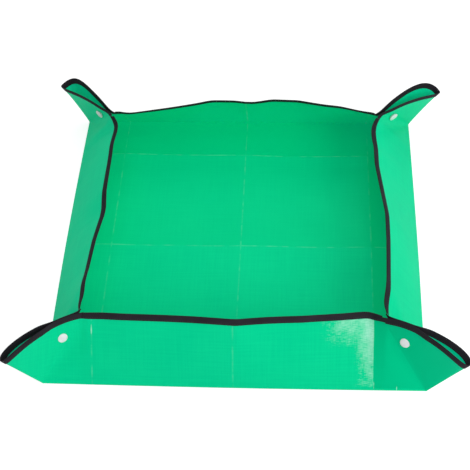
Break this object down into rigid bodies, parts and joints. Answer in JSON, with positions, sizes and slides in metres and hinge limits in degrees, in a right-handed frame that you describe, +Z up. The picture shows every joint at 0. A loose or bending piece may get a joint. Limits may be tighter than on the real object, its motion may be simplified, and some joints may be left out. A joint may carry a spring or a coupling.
{
  "type": "repotting mat",
  "caption": "Square sheet mat bound with tape, its corners pinched into doubled ears and held by press-snaps to make a shallow tray for repotting plants; it unfolds flat.",
  "frame": {"origin": "on the underside of the tray's floor, at the middle of the square floor, where the mat rests on the table", "axes": "+Z up; +X to the right and +Y to the back as the picture looks at the tray, both square to the floor's fold lines"},
  "size_m": [0.6567, 0.5689, 0.0951],
  "materials": {
    "green_sheet": "woven polyethylene sheet, coated, semi-gloss, with fold creases",
    "black_tape": "woven black binding tape, stitched",
    "white_snap": "smooth white moulded plastic"
  },
  "bodies": {
    "floor": {"floor_panel": "green_sheet"},
    "front_wall": {"front_wall_binding": "black_tape", "front_wall_panel": "green_sheet"},
    "back_wall": {"back_wall_binding": "black_tape", "back_wall_panel": "green_sheet"},
    "left_wall": {"left_wall_binding": "black_tape", "left_wall_panel": "green_sheet"},
    "right_wall": {"right_wall_binding": "black_tape", "right_wall_panel": "green_sheet"},
    "back_left_ear_end": {"back_left_ear_end_binding": "black_tape", "back_left_ear_end_panel": "green_sheet", "back_left_snap_stud": "white_snap", "back_left_snap_stud_cap": "white_snap"},
    "back_left_ear_side": {"back_left_ear_side_binding": "black_tape", "back_left_ear_side_panel": "green_sheet", "back_left_snap_socket": "white_snap", "back_left_snap_socket_cap": "white_snap"},
    "back_right_ear_end": {"back_right_ear_end_binding": "black_tape", "back_right_ear_end_panel": "green_sheet", "back_right_snap_stud": "white_snap", "back_right_snap_stud_cap": "white_snap"},
    "back_right_ear_side": {"back_right_ear_side_binding": "black_tape", "back_right_ear_side_panel": "green_sheet", "back_right_snap_socket": "white_snap", "back_right_snap_socket_cap": "white_snap"},
    "front_left_ear_end": {"front_left_ear_end_binding": "black_tape", "front_left_ear_end_panel": "green_sheet", "front_left_snap_stud": "white_snap", "front_left_snap_stud_cap": "white_snap"},
    "front_left_ear_side": {"front_left_ear_side_binding": "black_tape", "front_left_ear_side_panel": "green_sheet", "front_left_snap_socket": "white_snap", "front_left_snap_socket_cap": "white_snap"},
    "front_right_ear_end": {"front_right_ear_end_binding": "black_tape", "front_right_ear_end_panel": "green_sheet", "front_right_snap_stud": "white_snap", "front_right_snap_stud_cap": "white_snap"},
    "front_right_ear_side": {"front_right_ear_side_binding": "black_tape", "front_right_ear_side_panel": "green_sheet", "front_right_snap_socket": "white_snap", "front_right_snap_socket_cap": "white_snap"}
  },
  "joints": [
    {"name": "front_wall_unfold", "type": "hinge", "parent": "floor", "child": "front_wall", "pos_m": [0, -0.27004, 0.00025], "axis": [1, 0, 0], "range_deg": [0, 129.25]},
    {"name": "back_wall_unfold", "type": "hinge", "parent": "floor", "child": "back_wall", "pos_m": [0, 0.27004, 0.00025], "axis": [-1, 0, 0], "range_deg": [0, 127.97]},
    {"name": "left_wall_unfold", "type": "hinge", "parent": "floor", "child": "left_wall", "pos_m": [-0.27484, 0, 0.00025], "axis": [0, -1, 0], "range_deg": [0, 124.33]},
    {"name": "right_wall_unfold", "type": "hinge", "parent": "floor", "child": "right_wall", "pos_m": [0.27484, 0, 0.00025], "axis": [0, 1, 0], "range_deg": [0, 125.74]},
    {"name": "back_left_ear_end_unfold", "type": "hinge", "parent": "back_wall", "child": "back_left_ear_end", "pos_m": [-0.27384, 0.27004, 0.00025], "axis": [0.4999, -0.5329, 0.6827], "range_deg": [0, 45.68]},
    {"name": "back_left_ear_side_unfold", "type": "hinge", "parent": "left_wall", "child": "back_left_ear_side", "pos_m": [-0.27484, 0.26904, 0.00025], "axis": [-0.4632, 0.5704, -0.6783], "range_deg": [0, 64.57]},
    {"name": "back_right_ear_end_unfold", "type": "hinge", "parent": "back_wall", "child": "back_right_ear_end", "pos_m": [0.27384, 0.27004, 0.00025], "axis": [0.5203, 0.5254, -0.6732], "range_deg": [0, 37.66]},
    {"name": "back_right_ear_side_unfold", "type": "hinge", "parent": "right_wall", "child": "back_right_ear_side", "pos_m": [0.27484, 0.26904, 0.00025], "axis": [-0.4824, -0.5638, 0.6704], "range_deg": [0, 73.34]},
    {"name": "front_left_ear_end_unfold", "type": "hinge", "parent": "front_wall", "child": "front_left_ear_end", "pos_m": [-0.27384, -0.27004, 0.00025], "axis": [-0.4933, -0.5504, -0.6736], "range_deg": [0, 37.17]},
    {"name": "front_left_ear_side_unfold", "type": "hinge", "parent": "left_wall", "child": "front_left_ear_side", "pos_m": [-0.27484, -0.26904, 0.00025], "axis": [0.4558, 0.5888, 0.6675], "range_deg": [0, 73.69]},
    {"name": "front_right_ear_end_unfold", "type": "hinge", "parent": "front_wall", "child": "front_right_ear_end", "pos_m": [0.27384, -0.27004, 0.00025], "axis": [-0.5149, 0.5424, 0.6638], "range_deg": [0, 28.16]},
    {"name": "front_right_ear_side_unfold", "type": "hinge", "parent": "right_wall", "child": "front_right_ear_side", "pos_m": [0.27484, -0.26904, 0.00025], "axis": [0.4743, -0.5834, -0.6593], "range_deg": [0, 83.45]}
  ],
  "couplings": [
    {"joint": "back_wall_unfold", "follows": "front_wall_unfold", "ratio": 0.9901},
    {"joint": "left_wall_unfold", "follows": "front_wall_unfold", "ratio": 0.96193},
    {"joint": "right_wall_unfold", "follows": "front_wall_unfold", "ratio": 0.9728},
    {"joint": "back_left_ear_end_unfold", "follows": "front_wall_unfold", "ratio": 0.35343},
    {"joint": "back_left_ear_side_unfold", "follows": "front_wall_unfold", "ratio": 0.49958},
    {"joint": "back_right_ear_end_unfold", "follows": "front_wall_unfold", "ratio": 0.29138},
    {"joint": "back_right_ear_side_unfold", "follows": "front_wall_unfold", "ratio": 0.56744},
    {"joint": "front_left_ear_end_unfold", "follows": "front_wall_unfold", "ratio": 0.28759},
    {"joint": "front_left_ear_side_unfold", "follows": "front_wall_unfold", "ratio": 0.57009},
    {"joint": "front_right_ear_end_unfold", "follows": "front_wall_unfold", "ratio": 0.21785},
    {"joint": "front_right_ear_side_unfold", "follows": "front_wall_unfold", "ratio": 0.64561}
  ]
}
